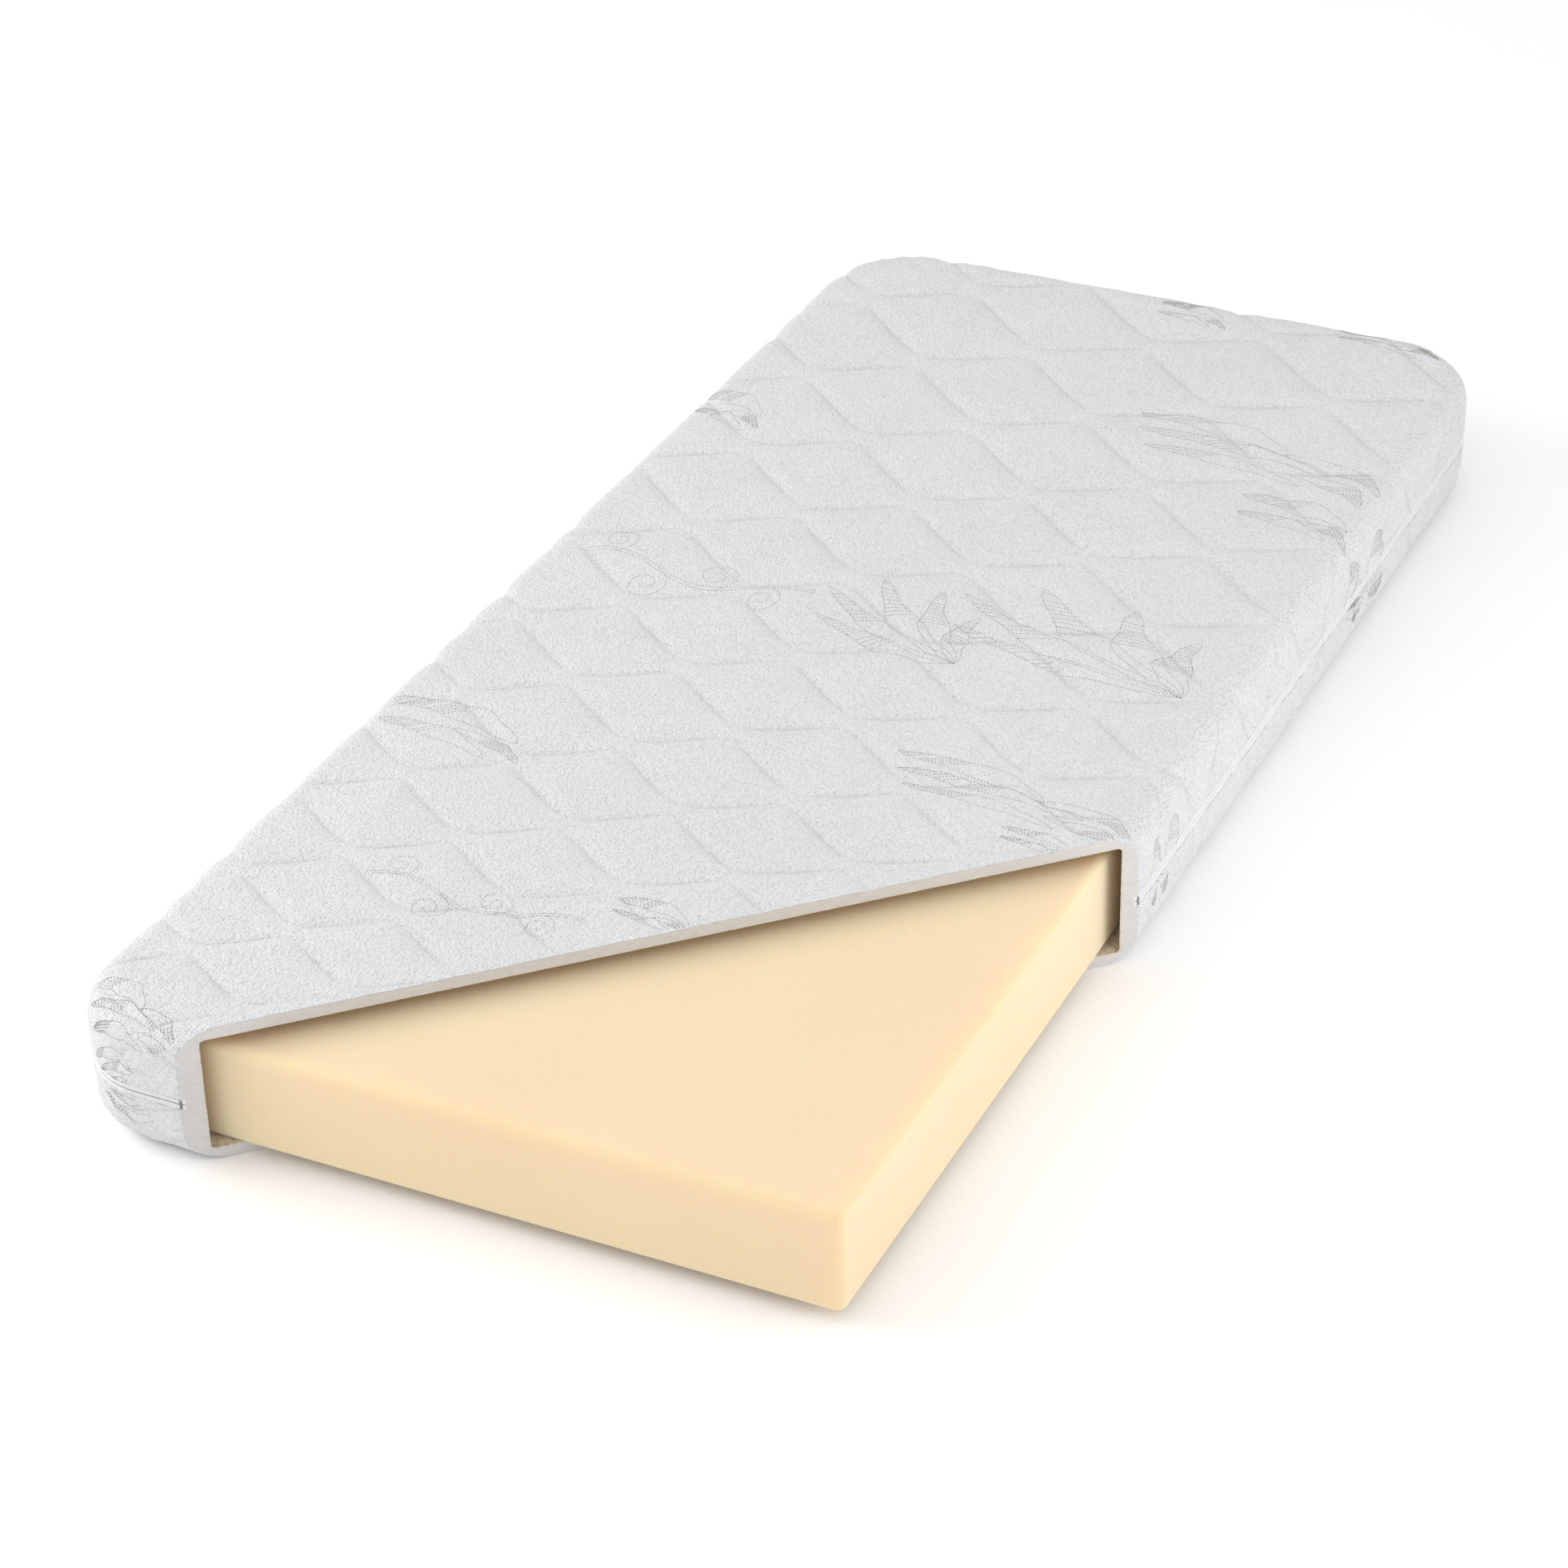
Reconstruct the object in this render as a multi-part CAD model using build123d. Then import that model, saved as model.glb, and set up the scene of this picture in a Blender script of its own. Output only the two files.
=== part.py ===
from build123d import *
import os

# A memory foam mattress in its quilted cover. One bottom corner of the cover is cut away
# by an upright plane, so that the foam core and the layers of the quilt show.
# X runs along the mattress and Y across it. Z is up from the surface it lies on.
# The origin is at the middle of the underside. All sizes are in millimetres.

# Overall size
LENGTH = 2000.0
WIDTH = 900.0
HEIGHT = 163.0
CUT_END_CORNER_R = 95.0  # plan corners of the end at -X, which has the cutaway
FAR_END_CORNER_R = 130.0  # plan corners of the end at +X
EDGE_R = 36.0  # outside rounding of the top and bottom edges
INNER_EDGE_R = 4.0  # the same edges inside, where the lining turns almost square

# Cutaway: where the cutting plane leaves the two outer walls, from their shared corner
CUT_ALONG = 732.0
CUT_ACROSS = 751.0
CUT_OVERRUN = 300.0  # how far the cutting plane runs on past those walls

# Layers of the quilt, from the outside in. The wadding is thicker in the walls.
TICKING_T = 1.2
WADDING_T = 12.4
SIDE_WADDING_T = 13.5
END_WADDING_T = 16.4
LINING_T = 0.9
COVER_T = TICKING_T + WADDING_T + LINING_T

# Foam core
FOAM_LENGTH = 1926.0
FOAM_WIDTH = 836.0
FOAM_HEIGHT = 120.0
FOAM_CORNER_R = 12.0  # the corner that the cutaway shows
FOAM_HIDDEN_CORNER_R = 60.0  # the three corners that follow the round corners of the cover
FOAM_EDGE_R = 9.5
BODY_GAP = 0.3  # between bodies that lie on each other

# The zip runs round the wall of the cover at ZIP_Z, in a shallow groove between two lips.
# Behind it the lined edges of the two halves meet.
ZIP_Z = 76.0
LOWER_LIP_Z = 70.5
UPPER_LIP_Z = 81.5
LIP_R = 2.5
TAPE_INSET = 3.4  # outer face of the tape, in from the outside of the wall
TAPE_T = 0.8
TAPE_SEWN_IN = 13.0  # depth of tape that is sewn into each lip
CHANNEL_INSET = 6.6  # back of the channel behind the tape, where the slider's inner plate runs
PARTING_GAP = 0.6  # between the lined edges behind the zip
COIL_T = 2.2
COIL_H = 2.5
COIL_GAP = 1.0  # between the two rows of coil
COIL_INSET = TAPE_INSET - COIL_T

# Ends of the coils, on the long side at +Y
UPPER_COIL_END_X = 800.0
LOWER_COIL_END_X = 845.0
COIL_START_X = 856.0
STOP_L = 3.0
STOP_T = 2.4
STOP_R = 0.6

# Slider and pull tab. They stand a few millimetres proud of the wall.
SLIDER_X = 825.0
SLIDER_L = 18.0
SLIDER_H = 10.0
PLATE_T = 1.2
PLATE_CORNER_R = 2.0
OUTER_PLATE_INSET = -0.5
INNER_PLATE_INSET = 4.7
FLANGE_L = 14.0
FLANGE_H = 1.3
FLANGE_D = 2.1
POST_L = 4.0
POST_H = 0.5
POST_FROM_END = 3.0  # middle of the post, in from the slider's mouth
BRIDGE_L = 10.0
BRIDGE_H = 3.0
BRIDGE_T = 1.1
BRIDGE_RISE = 3.1
BRIDGE_R = 1.5
TAB_L = 28.0
TAB_H = 7.0
TAB_T = 1.1
TAB_END_R = 3.2
TAB_PIN_R = 0.6
TAB_PIN_L = 6.4
TAB_PIN_RISE = 0.95
TAB_WINDOW_L = 7.5
TAB_WINDOW_H = 3.9
TAB_GRIP_HOLE_L = 9.0
TAB_GRIP_HOLE_H = 2.6
TAB_GRIP_HOLE_R = 1.2

BOTTOM = (Align.CENTER, Align.CENTER, Align.MIN)
TOOL_OVERRUN = 1.0  # how far a cutting block runs past what it cuts


def outline_block(inset, low_z, high_z, end_inset=None):
    """Upright block with the plan outline of the mattress, set in from the walls.

    end_inset is for the two end walls, where that differs from the long ones.
    """
    end_inset = inset if end_inset is None else end_inset
    block = Pos(0, 0, low_z) * Box(
        LENGTH - 2 * end_inset, WIDTH - 2 * inset, high_z - low_z, align=BOTTOM
    )
    block = fillet(block.edges().filter_by(Axis.Z).group_by(Axis.X)[0], CUT_END_CORNER_R - inset)
    return fillet(block.edges().filter_by(Axis.Z).group_by(Axis.X)[-1], FAR_END_CORNER_R - inset)


def round_bottom(block, radius):
    """The block with its bottom edges rounded."""
    return fillet(block.faces().sort_by(Axis.Z)[0].edges(), radius)


def shell_block(inset, high_z):
    """Block with the outside shape of one half, up to its lip, set in all round."""
    block = round_bottom(outline_block(inset, inset, high_z - inset), EDGE_R - inset)
    return fillet(block.faces().sort_by(Axis.Z)[-1].edges(), LIP_R - inset)


def inside_block(lining_t, high_z):
    """Block that fills one half inside the wadding, or inside a lining of lining_t."""
    skin = TICKING_T + lining_t
    block = outline_block(
        skin + SIDE_WADDING_T, skin + WADDING_T, high_z, end_inset=skin + END_WADDING_T
    )
    return round_bottom(block, INNER_EDGE_R + LINING_T - lining_t)


def wall_ring(outer_inset, inner_inset, low_z, high_z):
    """Upright band that follows the wall all round, between two insets."""
    return outline_block(outer_inset, low_z, high_z) - outline_block(inner_inset, low_z, high_z)


def cutaway_block():
    """The corner that the upright cutting plane takes off the cover."""
    on_end = Vector(-LENGTH / 2, -WIDTH / 2 + CUT_ACROSS)
    on_side = Vector(-LENGTH / 2 + CUT_ALONG, -WIDTH / 2)
    along = (on_side - on_end).normalized() * CUT_OVERRUN
    first = on_end - along
    second = on_side + along
    corner = Vector(first.X, second.Y)
    outline = Polyline((first.X, first.Y), (second.X, second.Y), (corner.X, corner.Y), close=True)
    return Pos(0, 0, -TOOL_OVERRUN) * extrude(make_face(outline), HEIGHT + 2 * TOOL_OVERRUN)


def cover_half(lip_z, edge_z, tape_top_z):
    """Ticking, wadding, lining and tape of one half of the cover, lying open side up.

    The ticking ends at lip_z, under the zip. The lined edge behind the zip ends at edge_z.
    """
    ledge_z = lip_z - TICKING_T
    above = edge_z + TOOL_OVERRUN
    shell = shell_block(0, lip_z)
    filling = shell_block(TICKING_T, lip_z)
    core = inside_block(0, above)
    hollow = inside_block(LINING_T, above)
    tape = wall_ring(TAPE_INSET, TAPE_INSET + TAPE_T, lip_z - TAPE_SEWN_IN, tape_top_z)
    edge = outline_block(CHANNEL_INSET, ledge_z, edge_z)
    edge_filling = outline_block(CHANNEL_INSET + LINING_T, ledge_z, edge_z - LINING_T) - core
    channel_floor = wall_ring(TAPE_INSET + TAPE_T, CHANNEL_INSET, ledge_z, lip_z)
    return {
        "ticking": shell - filling - outline_block(TAPE_INSET, ledge_z, above),
        "wadding": (filling - core) + edge_filling - tape,
        "lining": (core & outline_block(0, 0, edge_z)) + (edge - edge_filling) + channel_floor - hollow,
        "zip_tape": tape,
    }


def coil_stretches(low_z, end_x, cutaway):
    """One row of zip coil round the wall, in the two stretches that the cutaway leaves.

    The row is open on the long side at +Y, from its end at end_x to where it starts.
    """
    band = wall_ring(COIL_INSET, TAPE_INSET, low_z, low_z + COIL_H)
    opening = Box(COIL_START_X - end_x, 2 * TAPE_INSET + TOOL_OVERRUN, HEIGHT)
    band = band - Pos((COIL_START_X + end_x) / 2, WIDTH / 2, ZIP_Z) * opening
    return (band - cutaway).solids().sort_by(Axis.X)


def coil_stop(low_x, low_z, height):
    """Moulded stop at the end of a row of coil, on the face of the tape."""
    y = WIDTH / 2 - TAPE_INSET
    stop = Pos(low_x + STOP_L / 2, y, low_z + height / 2) * Box(
        STOP_L, STOP_T, height, align=(Align.CENTER, Align.MIN, Align.CENTER)
    )
    return fillet(stop.edges().filter_by(Axis.Z).sort_by(Axis.Y)[-2:], STOP_R)


def wall_box(length, inset, thickness, height, x=0.0, z=0.0):
    """Box on the long side at +Y, its outer face set in from the wall, placed from the slider."""
    y = WIDTH / 2 - inset - thickness / 2
    return Pos(SLIDER_X + x, y, ZIP_Z + z) * Box(length, thickness, height)


def zip_slider():
    """Two plates joined by a post, with flanges that hold the coils and a bridge for the tab."""
    plates = []
    for inset in (OUTER_PLATE_INSET, INNER_PLATE_INSET):
        plate = wall_box(SLIDER_L, inset, PLATE_T, SLIDER_H)
        plates.append(fillet(plate.edges().filter_by(Axis.Y), PLATE_CORNER_R))
    under = OUTER_PLATE_INSET + PLATE_T
    post = wall_box(POST_L, under, INNER_PLATE_INSET - under, POST_H, SLIDER_L / 2 - POST_FROM_END)
    flange_z = (SLIDER_H - FLANGE_H) / 2
    flanges = [wall_box(FLANGE_L, under, FLANGE_D, FLANGE_H, z=side * flange_z) for side in (-1, 1)]
    top = OUTER_PLATE_INSET - BRIDGE_RISE
    bridge = wall_box(BRIDGE_L, top, BRIDGE_RISE, BRIDGE_H)
    bridge = fillet(bridge.edges().filter_by(Axis.Z).sort_by(Axis.Y)[-2:], BRIDGE_R)
    room = wall_box(BRIDGE_L - 2 * BRIDGE_T, top + BRIDGE_T, BRIDGE_RISE - BRIDGE_T, BRIDGE_H)
    return plates[0] + plates[1] + post + flanges + (bridge - room)


def zip_pull_tab():
    """Flat tab that hangs on the slider's bridge by a cross pin and lies along the zip."""
    pin_inset = OUTER_PLATE_INSET - TAB_PIN_RISE
    inset = pin_inset - TAB_T / 2
    blade = wall_box(TAB_L, inset, TAB_T, TAB_H, TAB_PIN_R - TAB_L / 2)
    blade = fillet(blade.edges().filter_by(Axis.Y).group_by(Axis.X)[0], TAB_END_R)
    window = wall_box(TAB_WINDOW_L, inset, TAB_T, TAB_WINDOW_H, TAB_PIN_R - TAB_WINDOW_L / 2)
    grip = wall_box(TAB_GRIP_HOLE_L, inset, TAB_T, TAB_GRIP_HOLE_H, TAB_GRIP_HOLE_L - TAB_L)
    grip = fillet(grip.edges().filter_by(Axis.Y), TAB_GRIP_HOLE_R)
    pin = Pos(SLIDER_X, WIDTH / 2 - pin_inset, ZIP_Z) * Cylinder(TAB_PIN_R, TAB_PIN_L)
    return blade - window - grip + pin


def foam_core():
    """The single block of foam, which lies on the lining of the lower half."""
    block = Pos(0, 0, COVER_T + BODY_GAP) * Box(
        FOAM_LENGTH, FOAM_WIDTH, FOAM_HEIGHT, align=BOTTOM
    )
    corners = block.edges().filter_by(Axis.Z)
    corners = sorted(corners, key=lambda edge: edge.center().X + edge.center().Y)
    block = fillet(corners[1:], FOAM_HIDDEN_CORNER_R)
    corner = block.edges().filter_by(Axis.Z).sort_by(Axis.X).group_by(Axis.Y)[0][0]
    block = fillet(corner, FOAM_CORNER_R)
    ends = block.faces().sort_by(Axis.Z)
    return fillet(ends[0].edges() + ends[-1].edges(), FOAM_EDGE_R)


def build():
    """Every sub-part by its node name."""
    cutaway = cutaway_block()
    up_z = HEIGHT - ZIP_Z  # height of the zip in the upper half, while that lies open side up
    lower = cover_half(LOWER_LIP_Z, ZIP_Z - PARTING_GAP / 2, ZIP_Z - COIL_GAP / 2)
    upper = cover_half(HEIGHT - UPPER_LIP_Z, up_z - PARTING_GAP / 2, up_z - COIL_GAP / 2)
    parts = {"lower_" + name: solid - cutaway for name, solid in lower.items()}
    for name, solid in upper.items():
        parts["upper_" + name] = Pos(0, 0, HEIGHT) * mirror(solid, Plane.XY) - cutaway
    lower_coil_z = ZIP_Z - COIL_GAP / 2 - COIL_H
    upper_coil_z = ZIP_Z + COIL_GAP / 2
    for half, low_z, end_x in (
        ("lower", lower_coil_z, LOWER_COIL_END_X),
        ("upper", upper_coil_z, UPPER_COIL_END_X),
    ):
        stretches = coil_stretches(low_z, end_x, cutaway)
        parts[half + "_zip_coil_slider_run"] = stretches[0]
        parts[half + "_zip_coil_far_run"] = stretches[-1]
    parts["lower_zip_top_stop"] = coil_stop(LOWER_COIL_END_X, lower_coil_z, COIL_H)
    parts["upper_zip_top_stop"] = coil_stop(UPPER_COIL_END_X, upper_coil_z, COIL_H)
    parts["zip_bottom_stop"] = coil_stop(COIL_START_X - STOP_L, lower_coil_z, COIL_H)
    parts["zip_slider"] = zip_slider()
    parts["zip_pull_tab"] = zip_pull_tab()
    parts["foam_core"] = foam_core()
    return parts


os.makedirs("parts", exist_ok=True)
for node, solid in build().items():
    export_step(solid, f"parts/{node}.step")
    print(node, round(solid.volume), "mm3")
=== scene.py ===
import math

import bmesh
import bpy
import numpy as np
from mathutils import Matrix, Vector


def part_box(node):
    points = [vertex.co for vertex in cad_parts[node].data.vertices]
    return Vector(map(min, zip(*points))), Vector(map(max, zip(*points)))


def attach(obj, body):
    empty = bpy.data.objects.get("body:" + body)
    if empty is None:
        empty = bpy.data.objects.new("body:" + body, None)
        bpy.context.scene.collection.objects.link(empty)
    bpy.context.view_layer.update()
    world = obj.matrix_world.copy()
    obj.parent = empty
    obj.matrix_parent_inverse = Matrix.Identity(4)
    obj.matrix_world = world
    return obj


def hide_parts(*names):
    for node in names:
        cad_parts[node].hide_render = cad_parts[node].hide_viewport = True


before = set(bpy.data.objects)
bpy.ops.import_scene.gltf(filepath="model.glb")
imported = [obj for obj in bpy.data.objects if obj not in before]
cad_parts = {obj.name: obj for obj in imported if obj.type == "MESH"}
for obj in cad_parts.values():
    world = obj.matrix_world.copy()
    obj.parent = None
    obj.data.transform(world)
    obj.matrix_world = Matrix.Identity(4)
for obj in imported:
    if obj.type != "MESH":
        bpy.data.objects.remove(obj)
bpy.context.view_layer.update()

# ---------------------------------------------------------------- the frame's sizes, in metres
HALF_L, HALF_W, TOP_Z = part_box("upper_ticking")[1]
LOWER_LIP_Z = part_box("lower_ticking")[1][2]
UPPER_LIP_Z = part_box("upper_ticking")[0][2]
CUT_END_R = 0.095
FAR_END_R = 0.130
EDGE_R = 0.036
LIP_R = 0.0025
LEDGE = 0.0009
TICKING_T = 0.0012
FOAM_EDGE_R = 0.0095
FOAM_CORNER_R = 0.012  # the corner that the cutaway shows
FOAM_HIDDEN_CORNER_R = 0.06
LINING_INSET = 0.0136  # outer side of the lining, in from the lying face
SIDE_LINING_INSET = 0.0147
END_LINING_INSET = 0.0176
LINING_R = 0.0049

# The zip, in from the wall and up from the floor
ZIP_Z = 0.076
TAPE_INSET = 0.0034
TAPE_BACK = 0.0042
COIL_INSET = 0.0012
TOOTH_PITCH = 0.0027
UPPER_ROW_END_X = 0.800
LOWER_ROW_END_X = 0.845
ROW_START_X = 0.856
FACING_GAP = (-0.82, 0.866)  # no facing where the slider runs

# Upright cutting plane through two points on the outer walls
CUT_ON_END = np.array([-HALF_L, -HALF_W + 0.751])
CUT_ON_SIDE = np.array([-HALF_L + 0.732, -HALF_W])
CUT_ALONG = (CUT_ON_SIDE - CUT_ON_END) / np.linalg.norm(CUT_ON_SIDE - CUT_ON_END)
CUT_NORMAL = np.array([-CUT_ALONG[1], CUT_ALONG[0]])  # points into the cover that is left

FLAT_X = HALF_L - EDGE_R
FLAT_Y = HALF_W - EDGE_R


# ---------------------------------------------------------------- quilting pattern
# The stitch lines lie on a lattice. alpha counts rows of necks and beta counts columns.
# Both pitches grow slowly towards the far end, as the fabric is stretched there.
COLUMN_PITCH = 0.1047
COLUMN_GROWTH = 0.00136
COLUMN_LEAN = -0.0545
COLUMN_FAN = -0.0034
ROW_PITCH = -0.2535
ROW_RISE = 0.0038
ROW_FAN = -0.0043
QUILT_ORIGIN = (0.3957, -0.0455)
NECK_HALF = 0.16  # half width of a neck, in columns
STITCH_BEND = 0.25  # how far the lines are curved, from 0, straight, to 1
NECK_FLAT = 0.03  # half length of a neck, in rows
NECK_DEPTH = 0.35  # share of the depth that is left at a neck
QUILT_DEPTH = 0.0052
QUILT_REACH = 0.034
QUILT_SWELL = 2.6  # how steeply the fabric rises off a stitch line
UNDERSIDE_DEPTH = 0.0009  # where the mattress lies on it
UNDERSIDE_FADE = 0.03  # length of wall over which the underside's quilting gets its full depth
LIP_FADE = 0.033  # the quilting is shallow this near to the zip, where the tape is sewn in
CUT_FADE = 0.05  # and this near to the cut
CUT_DEPTH = 0.25  # share of the depth that is left at the cut
NEWTON_STEPS = 8


def quilt_point(alpha, beta):
    """Place on the spread-out fabric of a place in the lattice."""
    x = QUILT_ORIGIN[0] + COLUMN_PITCH * beta + COLUMN_GROWTH * beta**2
    x = x + COLUMN_LEAN * alpha + COLUMN_FAN * alpha * beta
    y = QUILT_ORIGIN[1] + ROW_PITCH * alpha + ROW_RISE * beta + ROW_FAN * alpha * beta
    return x, y


def quilt_slopes(alpha, beta):
    """How quilt_point changes: x by alpha, x by beta, y by alpha, y by beta."""
    x_alpha = COLUMN_LEAN + COLUMN_FAN * beta
    x_beta = COLUMN_PITCH + 2 * COLUMN_GROWTH * beta + COLUMN_FAN * alpha
    y_alpha = ROW_PITCH + ROW_FAN * beta
    y_beta = ROW_RISE + ROW_FAN * alpha
    return x_alpha, x_beta, y_alpha, y_beta


def quilt_place(x, y):
    """Lattice place of a point of the fabric, by Newton's method."""
    alpha = (y - QUILT_ORIGIN[1]) / ROW_PITCH
    beta = (x - QUILT_ORIGIN[0] - COLUMN_LEAN * alpha) / COLUMN_PITCH
    for _ in range(NEWTON_STEPS):
        at_x, at_y = quilt_point(alpha, beta)
        x_a, x_b, y_a, y_b = quilt_slopes(alpha, beta)
        det = x_a * y_b - x_b * y_a
        alpha = alpha + ((x - at_x) * y_b - (y - at_y) * x_b) / det
        beta = beta + ((y - at_y) * x_a - (x - at_x) * y_a) / det
    return alpha, beta


def stitch_line(k, alpha):
    """beta of the stitch line between columns k and k + 1, its slope, and its depth."""
    phase = alpha - k / 2
    phase = phase - np.round(phase)
    length = 0.5 - 2 * NECK_FLAT
    ramp = np.clip((np.abs(phase) - NECK_FLAT) / length, 0, 1)
    soft = (1 - STITCH_BEND) * ramp + STITCH_BEND * ramp**2 * (3 - 2 * ramp)
    steep = (1 - STITCH_BEND + STITCH_BEND * 6 * ramp * (1 - ramp)) * np.sign(phase) / length
    steep = np.where((ramp > 0) & (ramp < 1), steep, 0)
    swing = 1 - 2 * NECK_HALF
    depth = NECK_DEPTH + (1 - NECK_DEPTH) * np.sin(math.pi * ramp) ** 0.7
    return k + NECK_HALF + swing * soft, swing * steep, depth


def nearest_stitch(x, y):
    """Distance of points of the fabric from the nearest stitch line, and its depth there."""
    alpha, beta = quilt_place(x, y)
    x_a, x_b, y_a, y_b = quilt_slopes(alpha, beta)
    nearest = np.full(np.shape(x), 1.0)
    strength = np.zeros(np.shape(x))
    for step in (-1, 0, 1):
        line, slope, depth = stitch_line(np.floor(beta) + step, alpha)
        tangent_x = x_a + x_b * slope
        tangent_y = y_a + y_b * slope
        across = np.abs(x_b * tangent_y - y_b * tangent_x) / np.hypot(tangent_x, tangent_y)
        distance = np.abs(beta - line) * across
        strength = np.where(distance < nearest, depth, strength)
        nearest = np.minimum(nearest, distance)
    return nearest, strength


def past_cut(x, y):
    """Distance from the cutting plane, positive on the side where the cover is left."""
    return (x - CUT_ON_END[0]) * CUT_NORMAL[0] + (y - CUT_ON_END[1]) * CUT_NORMAL[1]


def smooth_step(value):
    value = np.clip(value, 0, 1)
    return value**2 * (3 - 2 * value)


# ---------------------------------------------------------------- shape of one half of the cover
class Half:
    """One half of the cover. Its fabric is spread out flat from its lying face."""

    def __init__(self, name, upper):
        self.name = name
        self.upper = upper
        self.body = name + "_cover"
        self.face_z = TOP_Z if upper else 0.0
        self.lip_z = UPPER_LIP_Z if upper else LOWER_LIP_Z
        self.height = abs(self.face_z - self.lip_z)
        self.arc = EDGE_R * math.pi / 2
        self.wall = self.height - EDGE_R - LIP_R
        self.end = self.arc + self.wall + LIP_R * math.pi / 2 + LEDGE
        # the pattern runs on over the zip of the long side at -Y
        self.lap = -2 * (FLAT_Y + self.arc + self.wall + LIP_R)

    def fabric(self, x, y):
        """Pattern place of spread-out fabric at x, y."""
        return (x, y) if self.upper else (x, self.lap - y)

    def spread(self, x, y):
        """Distance out past the flat face, and the direction of that in plan."""
        radius = np.where(x < 0, CUT_END_R, FAR_END_R) - EDGE_R
        over_x = np.abs(x) - (FLAT_X - radius)
        over_y = np.abs(y) - (FLAT_Y - radius)
        corner = (over_x > 0) & (over_y > 0)
        length = np.maximum(np.hypot(over_x, over_y), 1e-9)
        by_x = over_x > over_y
        out = np.where(corner, length, np.where(by_x, over_x, over_y)) - radius
        dir_x = np.where(corner, over_x / length, by_x) * np.sign(x)
        dir_y = np.where(corner, over_y / length, ~by_x) * np.sign(y)
        return out, dir_x, dir_y

    def profile(self, s, inset=0.0):
        """Distance out, distance down and lean of the wall's section at length s along it."""
        lip_start = self.arc + self.wall
        turn = np.clip(s / EDGE_R, 0, math.pi / 2)
        curl = np.clip((s - lip_start) / LIP_R, 0, math.pi / 2)
        out = (EDGE_R - inset) * np.sin(turn) - (LIP_R - inset) * (1 - np.cos(curl))
        out = out - np.clip(s - lip_start - LIP_R * math.pi / 2, 0, LEDGE)
        down = EDGE_R - (EDGE_R - inset) * np.cos(turn) + np.clip(s - self.arc, 0, self.wall)
        down = down + (LIP_R - inset) * np.sin(curl)
        return out, down, turn + curl

    def groove(self, x, y, s):
        """How far the quilting pulls the ticking in."""
        distance, strength = nearest_stitch(*self.fabric(x, y))
        rise = 1 - (1 - np.clip(distance / QUILT_REACH, 0, 1)) ** QUILT_SWELL
        depth = QUILT_DEPTH
        if not self.upper:
            full = smooth_step(s / UNDERSIDE_FADE)
            depth = UNDERSIDE_DEPTH + (QUILT_DEPTH - UNDERSIDE_DEPTH) * full
        depth = depth * smooth_step((self.end - s) / LIP_FADE)
        depth = depth * (CUT_DEPTH + (1 - CUT_DEPTH) * smooth_step(past_cut(x, y) / CUT_FADE))
        return depth * strength * (1 - rise)

    def place(self, x, y, lift=0.0):
        """Points and normals of the outer surface, raised by lift, for fabric at x, y."""
        s, dir_x, dir_y = self.spread(x, y)
        over = np.clip(s, 0, self.end)
        inset = self.groove(x, y, np.maximum(s, 0)) - lift
        out, down, lean = self.profile(over)
        move = np.where(s > 0, out - s, 0)
        side = 1 if self.upper else -1
        normal = np.stack([dir_x * np.sin(lean), dir_y * np.sin(lean), side * np.cos(lean)], -1)
        point = np.stack([x + dir_x * move, y + dir_y * move, self.face_z - side * down], -1)
        return point - normal * inset[..., None], normal


HALVES = [Half("upper", True), Half("lower", False)]


# ---------------------------------------------------------------- mesh helpers
def dressed(name, mesh, body, material, smooth=True, sharp=None):
    """A piece from a mesh, with its material, riding on a body."""
    if smooth:
        mesh.shade_smooth()
    if sharp is not None:
        mesh.set_sharp_from_angle(angle=math.radians(sharp))
    obj = bpy.data.objects.new(name, mesh)
    bpy.context.scene.collection.objects.link(obj)
    obj.data.materials.append(material)
    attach(obj, body)
    return obj


def new_object(name, verts, faces, body, material, smooth=True, sharp=None):
    """A piece from vertices and faces. sharp is the angle in degrees that keeps its edge."""
    mesh = bpy.data.meshes.new(name)
    mesh.from_pydata([tuple(v) for v in verts], [], [tuple(f) for f in faces])
    mesh.validate()
    return dressed(name, mesh, body, material, smooth, sharp)


# ---------------------------------------------------------------- materials
MIX_FACTOR, MIX_FROM, MIX_TO, MIX_RESULT = 0, 6, 7, 2  # colour sockets of a Mix node


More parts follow.
